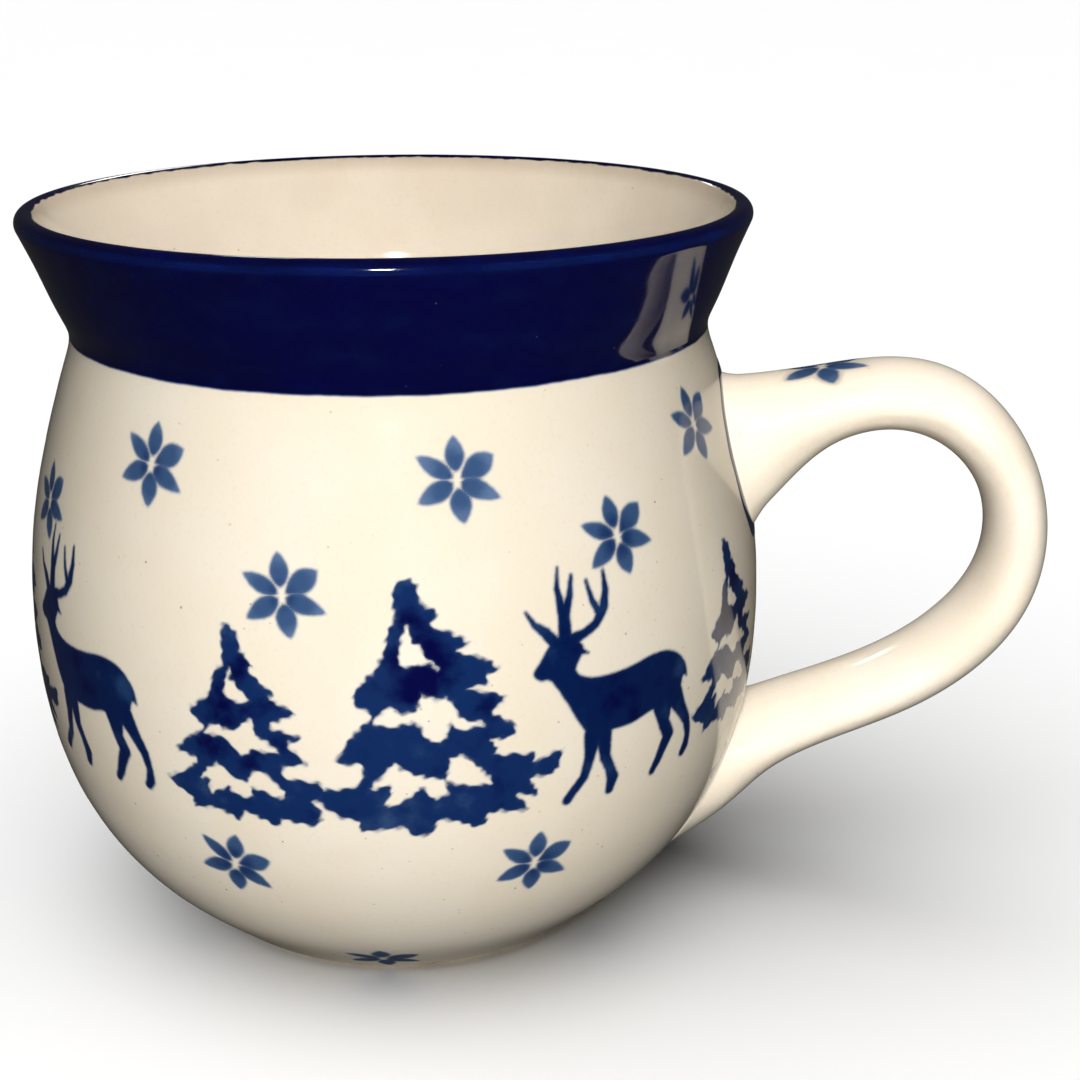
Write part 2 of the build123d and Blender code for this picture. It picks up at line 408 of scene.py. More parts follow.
SMALL_FIR = [
    (-0.9, 25.6), (0.1, 25.7), (0.9, 24.6), (1.5, 22.6), (2.9, 21.1), (2.5, 20.3), (5.3, 17.9),
    (4.9, 17.3), (8.0, 15.5),
    (6.2, 14.6), (5.0, 13.5), (8.5, 12.5), (7.0, 11.4), (9.1, 9.1), (6.3, 8.4), (6.7, 7.0), (10.5, 6.6),
    (11.0, 4.4), (9.6, 3.9), (10.6, 2.0), (9.3, 0.5), (5.7, 1.0), (4.5, 0.0), (0.9, 1.5), (-0.5, 0.0),
    (-2.9, 1.3), (-6.4, 0.8), (-6.8, 2.1), (-10.1, 4.2), (-7.0, 5.9), (-5.4, 8.0), (-8.0, 8.5),
    (-7.0, 10.0), (-4.0, 12.4), (-5.8, 14.4), (-3.1, 16.8), (-2.0, 19.8), (-1.1, 21.0), (-1.1, 24.4),
]
SMALL_FIR_SNOW = [
    [(-0.1, 20.5), (0.1, 19.0), (2.3, 16.5), (0.0, 16.6), (-0.9, 17.6)],
    [
        (-3.9, 11.7), (-2.0, 13.2), (-1.3, 12.6), (0.4, 12.8), (2.4, 14.2), (3.0, 12.5), (5.6, 10.4),
        (2.4, 10.3), (1.0, 9.4), (-0.4, 10.9), (-1.8, 11.6),
    ],
    [
        (-5.0, 5.4), (-2.5, 7.7), (-0.7, 6.4), (1.2, 5.9), (2.4, 7.4), (3.9, 7.2), (6.1, 4.8), (5.2, 4.2),
        (2.0, 5.3), (1.9, 3.8), (-0.5, 4.0), (-1.2, 4.8), (-3.9, 3.4), (-3.6, 5.3),
    ],
]
STAG_BODY = [
    (-12.5, 18.8), (-11.6, 17.8), (-10.2, 17.5), (-8.2, 14.4), (-6.4, 11.2), (-4.6, 9.2), (-1.5, 9.2),
    (1.8, 9.3), (4.8, 10.0), (7.4, 9.4), (9.8, 10.4), (10.6, 12.9), (11.5, 12.7), (10.9, 15.0), (8.6, 17.0),
    (5.2, 17.6), (0.0, 16.9), (-4.6, 17.0), (-6.8, 18.4), (-5.6, 21.0), (-7.4, 22.7), (-9.6, 22.7),
    (-11.6, 20.2),
]
STAG_STROKES = [
    [(-4.4, 9.4, 1.4), (-4.8, 6.5, 0.85), (-5.5, 3.7, 0.7), (-6.9, 2.0, 0.7), (-7.7, 0.9, 0.72)],
    [(-2.8, 9.0, 1.2), (-2.5, 5.8, 0.85), (-1.7, 4.1, 0.75), (-1.1, 2.4, 0.95), (-1.4, 0.7, 0.68)],
    [
        (6.9, 10.0, 1.8), (7.2, 7.5, 1.0), (8.2, 5.6, 1.05), (7.3, 3.9, 0.88), (6.6, 2.3, 0.75),
        (5.8, 1.0, 0.6),
    ],
    [
        (9.0, 10.8, 1.6), (10.6, 8.3, 1.0), (11.9, 6.3, 0.78), (12.4, 4.1, 0.6), (12.2, 2.5, 0.78),
        (11.7, 1.7, 0.68),
    ],
    [
        (-7.4, 22.2, 0.9), (-5.4, 22.7, 0.62), (-3.7, 23.6, 0.65), (-2.5, 25.3, 0.72), (-2.0, 27.5, 0.5),
        (-2.1, 29.7, 0.28),
    ],
    [(-3.0, 24.4, 0.6), (-4.1, 26.6, 0.42), (-4.7, 29.0, 0.26)],
    [(-8.1, 22.4, 1.0), (-8.1, 25.4, 0.85), (-7.2, 27.5, 0.5), (-6.7, 30.0, 0.28)],
    [(-8.3, 25.8, 0.7), (-8.8, 28.8, 0.4), (-8.5, 31.2, 0.22)],
    [(-9.4, 22.1, 0.8), (-10.6, 23.6, 0.72), (-12.1, 24.9, 0.42), (-13.1, 26.5, 0.22)],
    [(-7.4, 20.6, 0.9), (-6.0, 20.6, 0.5), (-5.0, 20.2, 0.15)],
]
# petals: (direction in degrees, distance from the middle to the near end and to the tip, half width,
# where along it is widest)
PETALS = [
    (95, 0.95, 5.2, 1.2, 0.46), (34, 0.5, 5.3, 1.45, 0.54), (-22, 0.45, 5.6, 1.2, 0.36),
    (-80, 0.85, 5.1, 1.28, 0.44), (-148, 0.45, 5.2, 1.25, 0.42), (151, 0.45, 5.5, 1.05, 0.44),
]
PETAL_POINTS = 14
NEEDLE_WANDER = 0.24        # how far the firs' outlines wander from their smooth runs
NEEDLE_LENGTH = 2.1
# where the colour pools, above zero, or thins, below zero: (across, up, reach, strength)
LARGE_FIR_TONES = [
    (0.0, 20.2, 4.6, 1.0), (3.0, 22.8, 4.6, 0.8), (1.6, 25.6, 3.6, 0.6), (-0.6, 28.0, 3.4, 0.5),
    (-2.8, 23.8, 3.2, 0.4), (7.6, 16.6, 4.6, 0.4), (-1.0, 33.4, 3.4, -0.8), (9.5, 8.5, 6.0, 0.25),
    (-6.4, 17.6, 4.0, -0.4), (-3.0, 2.6, 7.0, -0.5), (5.0, 3.0, 5.0, -0.3), (0.0, 11.6, 4.0, -0.15),
]
SMALL_FIR_TONES = [
    (-1.6, 15.0, 5.0, 1.0), (1.0, 20.4, 3.6, 0.7), (-3.2, 10.4, 4.2, 0.7), (4.0, 15.6, 3.6, 0.45),
    (1.8, 8.6, 4.0, 0.4), (-0.3, 26.0, 3.0, -0.8), (5.8, 11.4, 3.4, 0.3), (-5.5, 3.6, 4.0, -0.3),
]
STAG_TONES = [
    (-1.0, 14.0, 5.5, 0.6), (3.0, 11.0, 4.5, 0.3), (10.0, 14.5, 3.6, -0.7), (9.0, 8.0, 4.0, -0.5),
    (-5.0, 3.0, 4.5, -0.6),
    (-4.5, 26.5, 5.0, -0.8), (-11.5, 25.0, 3.5, -0.6), (-8.2, 29.0, 4.0, -0.5), (-2.5, 4.0, 3.0, -0.3),
]


def wander(x, y, reach, length):
    """Small smooth shifts of a drawing's points, as a cut sponge's edge makes them."""
    a = x * 2 * np.pi / length
    b = y * 2 * np.pi / length
    across = np.sin(a + 1.9 * np.sin(0.61 * b + 0.4)) * np.cos(0.83 * b + 1.3 * np.sin(0.37 * a))
    upward = np.cos(0.9 * a + 1.1 * np.sin(0.53 * b + 2.0)) * np.sin(b + 0.7 * np.cos(0.47 * a))
    return x + reach * across, y + reach * upward


def tone(x, y, blots):
    """Depth of colour from soft round blots."""
    depth = np.zeros(x.shape)
    for across, upward, reach, strength in blots:
        depth += strength * smooth_step(1 - np.hypot(x - across, y - upward) / reach)
    return np.clip(depth, -1, 1)


def fir_drawing(outline, snow, blots):
    def drawing(x, y):
        wx, wy = wander(x, y, NEEDLE_WANDER, NEEDLE_LENGTH)
        inside = inside_outline(wx, wy, curved(outline))
        for patch in snow:
            inside = np.minimum(inside, -inside_outline(wx, wy, curved(patch)))
        return inside, tone(x, y, blots)
    return drawing


def side_by_side(first, second, gap):
    """Two drawings as one, the second moved sideways by a gap."""
    def drawing(x, y):
        here, here_tone = first(x, y)
        there, there_tone = second(x - gap[0], y - gap[1])
        return np.maximum(here, there), np.where(here > there, here_tone, there_tone)
    return drawing


def stag_drawing(x, y):
    inside = inside_outline(x, y, curved(STAG_BODY))
    for stroke in STAG_STROKES:
        inside = np.maximum(inside, inside_stroke(x, y, stroke))
    return inside, tone(x, y, STAG_TONES)


def flower_drawing(x, y, load=0.0):
    """Six petals that are darkest at their near ends; a well loaded stamp prints a deeper colour."""
    share = np.linspace(0, 1, PETAL_POINTS)
    inside = np.full(x.shape, -np.inf)
    for angle, near, tip, width, widest in PETALS:
        turn = math.radians(angle)
        along = x * math.cos(turn) + y * math.sin(turn)
        across = y * math.cos(turn) - x * math.sin(turn)
        half = width * np.sin(np.pi * share**(math.log(0.5) / math.log(widest)))**0.75
        reach = near + (tip - near) * share
        outline = np.vstack([np.column_stack([reach, half]), np.column_stack([reach, -half])[-2:0:-1]])
        inside = np.maximum(inside, inside_outline(along, across, outline))
    return inside, np.clip(load + 0.75 - 0.3 * np.hypot(x, y), -1, 1)


# --- stamps: thin patches of colour that follow a surface ---------------------------------------------
def kept_cells(distance):
    """Cells of a grid that a stamp keeps, with no two that meet only at a corner."""
    near = distance > -STAMP_MARGIN
    keep = near[:-1, :-1] | near[1:, :-1] | near[:-1, 1:] | near[1:, 1:]
    for _ in range(4):
        a, b, c, d = keep[:-1, :-1], keep[1:, 1:], keep[1:, :-1], keep[:-1, 1:]
        falling = a & b & ~c & ~d
        climbing = c & d & ~a & ~b
        if not (falling.any() or climbing.any()):
            break
        keep[1:, :-1] |= falling
        keep[:-1, :-1] |= climbing
    return keep


def stamp(name, drawing, low, high, surface, material):
    """A closed patch on a surface, with its drawing's signed distance and depth of colour at each point."""
    across = np.arange(low[0], high[0] + STAMP_GRAIN, STAMP_GRAIN)
    upward = np.arange(low[1], high[1] + STAMP_GRAIN, STAMP_GRAIN)
    x, y = np.meshgrid(across, upward, indexing="ij")
    inside, depth_of_colour = drawing(x, y)
    keep = kept_cells(inside)
    used = np.zeros(x.shape, bool)
    for rows, columns in ((slice(None, -1), slice(None, -1)), (slice(1, None), slice(None, -1)),
                          (slice(None, -1), slice(1, None)), (slice(1, None), slice(1, None))):
        used[rows, columns] |= keep
    index = np.full(x.shape, -1)
    index[used] = np.arange(used.sum())
    count = int(used.sum())
    depth = inside[used]
    sink = smooth_step((-depth - STAMP_FLAT) / (STAMP_MARGIN - STAMP_FLAT))
    lift = STAMP_RELIEF - (STAMP_RELIEF + STAMP_ROOT) * sink
    top = surface(x[used], y[used], lift)
    under = surface(x[used], y[used], np.full(count, -2 * STAMP_ROOT))
    a, b, c, d = index[:-1, :-1], index[1:, :-1], index[1:, 1:], index[:-1, 1:]
    quads = np.stack([a[keep], b[keep], c[keep], d[keep]], axis=1)
    edges = np.concatenate([quads[:, [0, 1]], quads[:, [1, 2]], quads[:, [2, 3]], quads[:, [3, 0]]])
    present = {(int(p), int(q)) for p, q in edges}
    sides = [(q, p, p + count, q + count) for p, q in sorted(present) if (q, p) not in present]
    faces = quads.tolist() + (quads[:, ::-1] + count).tolist() + sides
    piece = make_piece(name, np.concatenate([top, under]), faces, material)
    for attribute, values in (("inside", depth), ("tone", depth_of_colour[used])):
        data = piece.data.attributes.new(attribute, "FLOAT", "POINT").data
        data.foreach_set("value", np.concatenate([values, np.full(count, -1.0)]).astype(np.float32))
    normal = surface(x[used], y[used], np.full(count, 1.0)) - surface(x[used], y[used], np.zeros(count))
    piece.data.normals_split_custom_set_from_vertices(np.concatenate([normal, -normal]).tolist())
    return piece


def on_belly(girth, rise, turn=0.0, true_size=False):
    """The belly around a place on the chart, for a drawing turned by some degrees about that place."""
    lean = math.radians(turn)
    widen = 1.0
    if true_size:
        widen = GIRTH_RADIUS / np.interp(rise, BELLY_RISE, BELLY[:, 0])

    def surface(x, y, lift):
        across = x * math.cos(lean) - y * math.sin(lean)
        upward = x * math.sin(lean) + y * math.cos(lean)
        return belly_point(girth + widen * across, rise + upward, lift)
    return surface


# --- handle -------------------------------------------------------------------------------------------
HANDLE_LINE = smooth_line(HANDLE_STATIONS, FINE)
HANDLE_TRAVEL = np.gradient(HANDLE_LINE[:, :2], axis=0)
HANDLE_TRAVEL /= np.linalg.norm(HANDLE_TRAVEL, axis=1)[:, None]
HANDLE_RUN = lengths(HANDLE_LINE[:, :2])
ROOT_DEPTH = 1.0            # how deep in the bowl's wall the handle's coat ends


def height_above_belly(points):
    """Distance of points from the belly's glaze, below zero inside the wall."""
    radius = np.interp(points[..., 2], BELLY[:, 1], BELLY[:, 0])
    slope = np.gradient(BELLY[:, 0], BELLY[:, 1])
    lean = np.interp(points[..., 2], BELLY[:, 1], slope)
    return (np.hypot(points[..., 0], points[..., 1]) - radius) / np.hypot(1, lean)


def handle_point(run, around, lift=0.0):
    """Points of the handle's glaze at a distance along it and an angle around it, 0 on its outer side."""
    line = [np.interp(run, HANDLE_RUN, HANDLE_LINE[:, column]) for column in range(4)]
    travel = [np.interp(run, HANDLE_RUN, HANDLE_TRAVEL[:, column]) for column in range(2)]
    deep = line[2] / 2 + GLAZE
    wide = line[3] / 2 + GLAZE
    out = np.cos(around) * wide
    side = np.sin(around) * deep
    stretch = np.hypot(out, side)

    def at(extra):
        away = np.cos(around) * deep + out / stretch * extra
        across = np.sin(around) * wide + side / stretch * extra
        return np.stack([line[0] - travel[1] * away, across, line[1] + travel[0] * away], axis=-1)

    clear = np.clip(height_above_belly(at(0.0)), 0, FILLET_REACH)
    return at(FILLET_SPREAD * (1 - clear / FILLET_REACH)**2 + lift)


def run_at_depth(around, depth, upper):
    """How far along the handle each of its long lines passes a depth in the bowl's wall."""
    middle = HANDLE_RUN[-1] / 2
    runs = np.linspace(0, middle, FINE) if upper else np.linspace(HANDLE_RUN[-1], middle, FINE)
    found = []
    for angle in around:
        heights = height_above_belly(handle_point(runs, np.full(FINE, angle)))
        last_under = int(np.flatnonzero(heights < depth)[-1])
        found.append(runs[last_under])
    return np.array(found)


def handle_mesh():
    around = np.linspace(0, 2 * np.pi, HANDLE_AROUND, endpoint=False)
    first = run_at_depth(around, -ROOT_DEPTH, True)
    last = run_at_depth(around, -ROOT_DEPTH, False)
    share = np.linspace(0, 1, HANDLE_ALONG)[:, None]
    rings = handle_point(first + share * (last - first), around)
    points = rings.reshape(-1, 3)
    faces = grid_faces(HANDLE_ALONG, HANDLE_AROUND, False)
    ends = np.array([rings[0].mean(axis=0), rings[-1].mean(axis=0)])
    final = (HANDLE_ALONG - 1) * HANDLE_AROUND
    for column in range(HANDLE_AROUND):
        beyond = (column + 1) % HANDLE_AROUND
        faces.append((beyond, column, len(points)))
        faces.append((final + column, final + beyond, len(points) + 1))
    return np.vstack([points, ends]), faces


def joint_line_mesh(upper, width, relief, seed):
    """A brushed line around a joint: a low round bead on the belly that starts under the handle."""
    around = np.linspace(0, 2 * np.pi, LINE_AROUND, endpoint=False)
    runs = run_at_depth(around, 0.0, upper)
    ring = handle_point(runs, around)
    rise = np.interp(ring[:, 2], BELLY[:, 1], BELLY_RISE)
    girth = np.arctan2(ring[:, 1], ring[:, 0]) * GIRTH_RADIUS + HANDLE_GIRTH
    path = np.column_stack([girth, rise])
    travel = np.roll(path, -1, axis=0) - np.roll(path, 1, axis=0)
    travel /= np.linalg.norm(travel, axis=1)[:, None]
    outward = np.column_stack([travel[:, 1], -travel[:, 0]])
    if np.sum(outward * (path - path.mean(axis=0))) < 0:
        outward = -outward
    draws = np.random.default_rng(seed).uniform(0, 2 * np.pi, 3)
    brush = 1 + 0.14 * np.sin(2 * around + draws[0]) + 0.09 * np.sin(5 * around + draws[1])
    brush += 0.05 * np.sin(11 * around + draws[2])
    share = np.linspace(0, 1, LINE_ACROSS)
    bead = relief * np.sqrt(np.clip(1 - (2 * share - 1)**2, 0, 1)) - STAMP_ROOT
    points = []
    for across, lift in list(zip(share, bead)) + [(0.7, -3 * STAMP_ROOT), (0.3, -3 * STAMP_ROOT)]:
        reach = (across * 1.25 - 0.25) * width * brush
        place = path + outward * reach[:, None]
        points.append(belly_point(place[:, 0], place[:, 1], np.full(LINE_AROUND, lift)))
    faces = grid_faces(len(points), LINE_AROUND, True)
    return np.concatenate(points), faces


# --- materials ----------------------------------------------------------------------------------------
CREAM = (0.80, 0.728, 0.605)
CREAM_WARM = (0.79, 0.705, 0.565)
CREAM_PALE = (0.81, 0.75, 0.645)
SPECK_BROWN = (0.30, 0.16, 0.07)
SPECK_DARK = (0.07, 0.06, 0.055)
THIN_GLAZE = (0.33, 0.245, 0.16)
# the inside's glaze is the outside's cream painted darker: painted shade of the mug's inside
INSIDE_SHADED = (0.665, 0.59, 0.475)
INSIDE_SHADED_PALE = (0.70, 0.63, 0.515)
BAND_DEEP = (0.0006, 0.0008, 0.026)
BAND_BLUE = (0.002, 0.011, 0.068)
BAND_EDGE = (0.02, 0.05, 0.20)
COBALT = (0.0042, 0.021, 0.10)
COBALT_DEEP = (0.0006, 0.0012, 0.045)
COBALT_PALE = (0.026, 0.062, 0.155)
STAG_BLUE = (0.0012, 0.0105, 0.068)
STAG_PALE = (0.012, 0.042, 0.13)
FLOWER_BLUE = (0.036, 0.08, 0.19)
FLOWER_DEEP = (0.010, 0.034, 0.12)
FLOWER_PALE = (0.10, 0.165, 0.30)
HALO = (0.62, 0.62, 0.60)
CLAY = (0.52, 0.42, 0.29)
CLAY_DARK = (0.40, 0.30, 0.19)
SLIP = (0.46, 0.36, 0.245)
BLEED = 0.26                # half the width over which stamped colour fades out at an outline


class Graph:
    """A material's nodes, added one call at a time; lengths in its textures are in millimetres."""

    def __init__(self, name, roughness, **gloss):
        self.material = bpy.data.materials.new(name)
        self.material.use_nodes = True
        self.tree = self.material.node_tree
        self.shader = self.tree.nodes["Principled BSDF"]
        self.shader.inputs["Roughness"].default_value = roughness
        for socket, value in gloss.items():
            self.shader.inputs[socket.replace("_", " ")].default_value = value
        self.place = self.add("ShaderNodeTexCoord").outputs["Object"]

    def add(self, kind, inputs=None, **settings):
        node = self.tree.nodes.new(kind)
        for key, value in settings.items():
            setattr(node, key, value)
        for key, value in (inputs or {}).items():
            if isinstance(value, bpy.types.NodeSocket):
                self.tree.links.new(value, node.inputs[key])
            else:
                node.inputs[key].default_value = value
        return node

    def noise(self, size, detail=2.0, stretch=(1, 1, 1)):
        """Smooth noise, 0 to 1, with features of a size in millimetres."""
        place = self.place
        if stretch != (1, 1, 1):
            place = self.add("ShaderNodeMapping", {"Vector": place, "Scale": stretch}).outputs["Vector"]
        inputs = {"Vector": place, "Scale": 1 / (size * MM), "Detail": detail}
        return self.add("ShaderNodeTexNoise", inputs).outputs["Fac"]

    def ramp(self, value, low, high, start=0.0, end=1.0):
        """A soft step from start to end as a value goes from low to high."""
        inputs = {"Value": value, "From Min": low, "From Max": high, "To Min": start, "To Max": end}
        return self.add("ShaderNodeMapRange", inputs, interpolation_type="SMOOTHSTEP").outputs["Result"]

    def math(self, operation, first, second=0.0):
        return self.add("ShaderNodeMath", {0: first, 1: second}, operation=operation).outputs["Value"]

    def mix(self, share, first, second):
        """A colour between two others."""
        node = self.add("ShaderNodeMix", data_type="RGBA")
        for socket, value in ((0, share), (6, first), (7, second)):
            if isinstance(value, bpy.types.NodeSocket):
                self.tree.links.new(value, node.inputs[socket])
            elif socket == 0:
                node.inputs[socket].default_value = value
            else:
                node.inputs[socket].default_value = (*value, 1.0)
        return node.outputs[2]

    def specks(self, spacing, size, share):
        """Small round spots: spacing and size in millimetres, and the share of places that have one."""
        inputs = {"Vector": self.place, "Scale": 1 / (spacing * MM)}
        cells = self.add("ShaderNodeTexVoronoi", inputs, feature="F1")
        draw = self.add("ShaderNodeSeparateColor", {"Color": cells.outputs["Color"]}).outputs["Red"]
        spot = self.ramp(cells.outputs["Distance"], size / spacing, 0.35 * size / spacing)
        return self.math("MULTIPLY", spot, self.math("LESS_THAN", draw, share))

    def relief(self, *waves):
        """Bump from pairs of a value and its height in millimetres."""
        normal = None
        for value, height in waves:
            inputs = {"Height": value, "Distance": height * MM, "Strength": 1.0}
            if normal is not None:
                inputs["Normal"] = normal
            normal = self.add("ShaderNodeBump", inputs).outputs["Normal"]
        self.tree.links.new(normal, self.shader.inputs["Normal"])

    def finish(self, colour):
        self.tree.links.new(colour, self.shader.inputs["Base Color"])
        return self.material

    def height(self):
        """Height above the floor, in metres."""
        return self.add("ShaderNodeSeparateXYZ", {"Vector": self.place}).outputs["Z"]


def glaze_relief(graph):
    """The faint waviness and pinhole texture of a fired glaze."""
    graph.relief((graph.noise(7.0, 1.0), 0.045), (graph.noise(0.9, 2.0), 0.0035))


def cream_colour(graph, specks=1.0):
    """Cream glaze: soft patches, fine grain and sparse iron specks."""
    colour = graph.mix(graph.ramp(graph.noise(16.0, 3.0), 0.35, 0.65), CREAM_WARM, CREAM_PALE)
    colour = graph.mix(0.45, colour, CREAM)
    grain = graph.ramp(graph.noise(0.55, 4.0), 0.52, 0.75, 0.0, 0.14)
    colour = graph.mix(grain, colour, (0.60, 0.51, 0.39))
    faint = graph.math("MULTIPLY", graph.specks(1.7, 0.2, 0.2 * specks), 0.4)
    colour = graph.mix(faint, colour, SPECK_BROWN)
    rust = graph.math("MULTIPLY", graph.specks(2.6, 0.28, 0.1 * specks), 0.65)
    colour = graph.mix(rust, colour, SPECK_BROWN)
    return graph.mix(graph.math("MULTIPLY", graph.specks(2.3, 0.2, 0.08 * specks), 0.8), colour, SPECK_DARK)


def band_colour(graph):
    """Deep cobalt: faint brushed streaks, a paler outermost edge that is partly thinner cobalt and partly
    painted highlight, and tiny pale pinholes.
    """
    height = graph.height()
    streaks = graph.ramp(graph.noise(2.6, 4.0, (0.6, 0.6, 1.2)), 0.45, 0.8, 0.0, 0.2)
    # paler blue ring round the lip's outer round: thinner cobalt there, and painted highlight where the
    # round faces the light
    from_edge = graph.math("ABSOLUTE", graph.math("SUBTRACT", height, (LIP_HEIGHT + 0.25) * MM))
    thin = graph.ramp(from_edge, 0.75 * MM, 0.2 * MM, 0.0, 0.4)
    worn = graph.ramp(graph.noise(4.0, 4.0, (0.3, 0.3, 1.5)), 0.3, 0.6, 0.35, 1.0)
    blue = graph.math("MAXIMUM", streaks, graph.math("MULTIPLY", thin, worn))
    colour = graph.mix(blue, BAND_DEEP, BAND_BLUE)
    pinholes = graph.math("MULTIPLY", graph.specks(2.1, 0.12, 0.2), 0.3)
    return graph.mix(pinholes, colour, (0.16, 0.25, 0.42))


def cream_glaze():
    """Outside glaze, with the band's painted lower edge where the belly reaches it."""
    graph = Graph("cream_glaze_coat", 0.09, IOR=1.5)
    height = graph.height()
    wave = graph.math("MULTIPLY", graph.noise(5.0, 4.0), 0.5 * MM)
    ragged = graph.math("ADD", height, wave)
    edge = (NECK_HEIGHT - 0.1) * MM
    fringe = graph.ramp(ragged, edge, edge + 0.38 * MM)
    painted = graph.ramp(ragged, edge + 0.22 * MM, edge + 0.5 * MM)
    paint = graph.mix(painted, BAND_EDGE, band_colour(graph))
    glaze_relief(graph)
    return graph.finish(graph.mix(fringe, cream_colour(graph), paint))


def handle_glaze():
    graph = Graph("handle_glaze_coat", 0.09, IOR=1.5)
    glaze_relief(graph)
    return graph.finish(cream_colour(graph, 0.25))


def inner_glaze():
    """Inside glaze, painted darker than the outside cream as painted shade, and thinner and browner where
    it meets the band inside the lip's crest.
    """
    graph = Graph("inner_glaze_coat", 0.10, IOR=1.5)
    colour = graph.mix(graph.ramp(graph.noise(20.0, 3.0), 0.35, 0.65), INSIDE_SHADED, INSIDE_SHADED_PALE)
    grain = graph.ramp(graph.noise(0.6, 4.0), 0.52, 0.75, 0.0, 0.14)
    colour = graph.mix(grain, colour, (0.50, 0.42, 0.31))
    colour = graph.mix(graph.math("MULTIPLY", graph.specks(2.4, 0.26, 0.14), 0.55), colour, SPECK_BROWN)
    height = graph.height()
    ragged = graph.math("ADD", height, graph.math("MULTIPLY", graph.noise(2.0, 3.0), 0.5 * MM))
    brown = graph.ramp(ragged, (LIP_HEIGHT - 1.2) * MM, (LIP_HEIGHT + 1.2) * MM, 0.0, 0.38)
    blue = graph.ramp(ragged, (LIP_HEIGHT + 1.3) * MM, (LIP_HEIGHT + 1.45) * MM)
    glaze_relief(graph)
    return graph.finish(graph.mix(blue, graph.mix(brown, colour, THIN_GLAZE), BAND_DEEP))


def rim_glaze():
    """Cobalt coat of the collar and the lip."""
    graph = Graph("rim_cobalt_coat", 0.07, IOR=1.5)
    glaze_relief(graph)
    return graph.finish(band_colour(graph))


def stamped_colour(name, blue, deep, pale, mottling):
    """Cream glaze with stamped cobalt under it: soft at its outline, darker where it pools."""
    graph = Graph(name, 0.09, IOR=1.5)
    inside = graph.add("ShaderNodeAttribute", attribute_name="inside").outputs["Fac"]
    given = graph.add("ShaderNodeAttribute", attribute_name="tone").outputs["Fac"]
    soak = graph.math("MULTIPLY", graph.math("SUBTRACT", graph.noise(0.8, 3.0), 0.5), 0.2)
    soaked = graph.math("ADD", inside, soak)
    halo = graph.ramp(soaked, -0.5, 0.0, 0.0, 0.55)
    cover = graph.ramp(soaked, -BLEED, BLEED)
    mottle = graph.math("MULTIPLY", graph.math("SUBTRACT", graph.noise(3.4, 4.0), 0.5), mottling)
    depth = graph.math("ADD", given, mottle)
    paint = graph.mix(graph.ramp(depth, 0.05, 0.85), blue, deep)
    paint = graph.mix(graph.ramp(depth, -0.1, -1.0), paint, pale)
    thin = graph.ramp(inside, 0.1, 0.6, 0.3, 0.0)
    paint = graph.mix(thin, paint, pale)
    gaps = graph.math("MULTIPLY", graph.specks(3.4, 0.22, 0.12), 0.35)
    paint = graph.mix(gaps, paint, pale)
    ground = graph.mix(halo, cream_colour(graph), HALO)
    glaze_relief(graph)
    return graph.finish(graph.mix(cover, ground, paint))


def line_colour(name, blue, deep):
    """Brushed colour of a joint line, between two blues: cobalt at the upper joint, grey-blue at the lower.
    """
    graph = Graph(name, 0.09, IOR=1.5)
    glaze_relief(graph)
    return graph.finish(graph.mix(graph.ramp(graph.noise(1.6, 3.0), 0.35, 0.7), blue, deep))


def bare_clay(name, light, dark, roughness):
    """Fired clay without glaze: fine sandy grain and small iron spots."""
    graph = Graph(name, roughness, IOR=1.5)
    grain = graph.noise(0.35, 5.0)
    colour = graph.mix(graph.ramp(graph.noise(6.0, 3.0), 0.35, 0.65), light, dark)
    colour = graph.mix(graph.ramp(grain, 0.45, 0.75, 0.0, 0.35), colour, dark)
    colour = graph.mix(graph.math("MULTIPLY", graph.specks(1.6, 0.22, 0.25), 0.7), colour, SPECK_BROWN)
    graph.relief((grain, 0.05), (graph.noise(2.5, 3.0), 0.06))
    return graph.finish(colour)


def floor_paper():
    graph = Graph("floor_paper", 0.9)
    return graph.finish(graph.mix(graph.noise(120.0, 2.0), (0.90, 0.90, 0.90), (0.885, 0.885, 0.885)))


# --- the mug ------------------------------------------------------------------------------------------
cream = cream_glaze()
handle_cream = handle_glaze()
inside_cream = inner_glaze()
clay = bare_clay("bare_stoneware", CLAY, CLAY_DARK, 0.75)
slip = bare_clay("fired_slip", SLIP, CLAY_DARK, 0.85)

below_edge = COLLAR[COLLAR[:, 1] <= BAND_START]
above_edge = COLLAR[COLLAR[:, 1] >= below_edge[-1, 1]]
belly_outline = coat_outline([(np.vstack([BELLY, below_edge[1:]]), ROW)], UNDER_ROW)
points, faces = revolved(belly_outline, 1.0)
make_piece("belly_coat", points, faces, cream, ["belly_glaze"])
points, faces = revolved(coat_outline([(above_edge, LIP_ROW)], 3 * LIP_ROW))
make_piece("rim_coat", points, faces, rim_glaze(), ["rim_cobalt_band"])
points, faces = revolved(coat_outline([(LIP_INSIDE, LIP_ROW / 2), (INSIDE, ROW)], UNDER_ROW))
make_piece("inner_coat", points, faces, inside_cream, ["inner_glaze"])
points, faces = handle_mesh()
make_piece("handle_coat", points, faces, handle_cream, ["handle_glaze"])

for node, material in (
    ("bowl_clay", clay), ("handle_clay", clay), ("upper_joint_slip", slip), ("lower_joint_slip", slip),
    ("base_glaze", inside_cream),
):
    for material_slot in bpy.data.objects[node].material_slots:
        material_slot.material = material

dark_line = line_colour("upper_line_cobalt", COBALT, (0.002, 0.006, 0.07))
# a grey-blue line along the lower joint's seam, paler than the upper line
grey_line = line_colour("lower_joint_grey_line", (0.05, 0.08, 0.16), COBALT)
for name, upper, width, relief, seed, material in (
    ("upper_joint_line", True, 1.95, 0.12, 3, dark_line),
    ("lower_joint_line", False, 1.05, 0.08, 5, grey_line),
):
    points, faces = joint_line_mesh(upper, width, relief, seed)
    make_piece(name.replace("line", "brushline"), points, faces, material, [name])

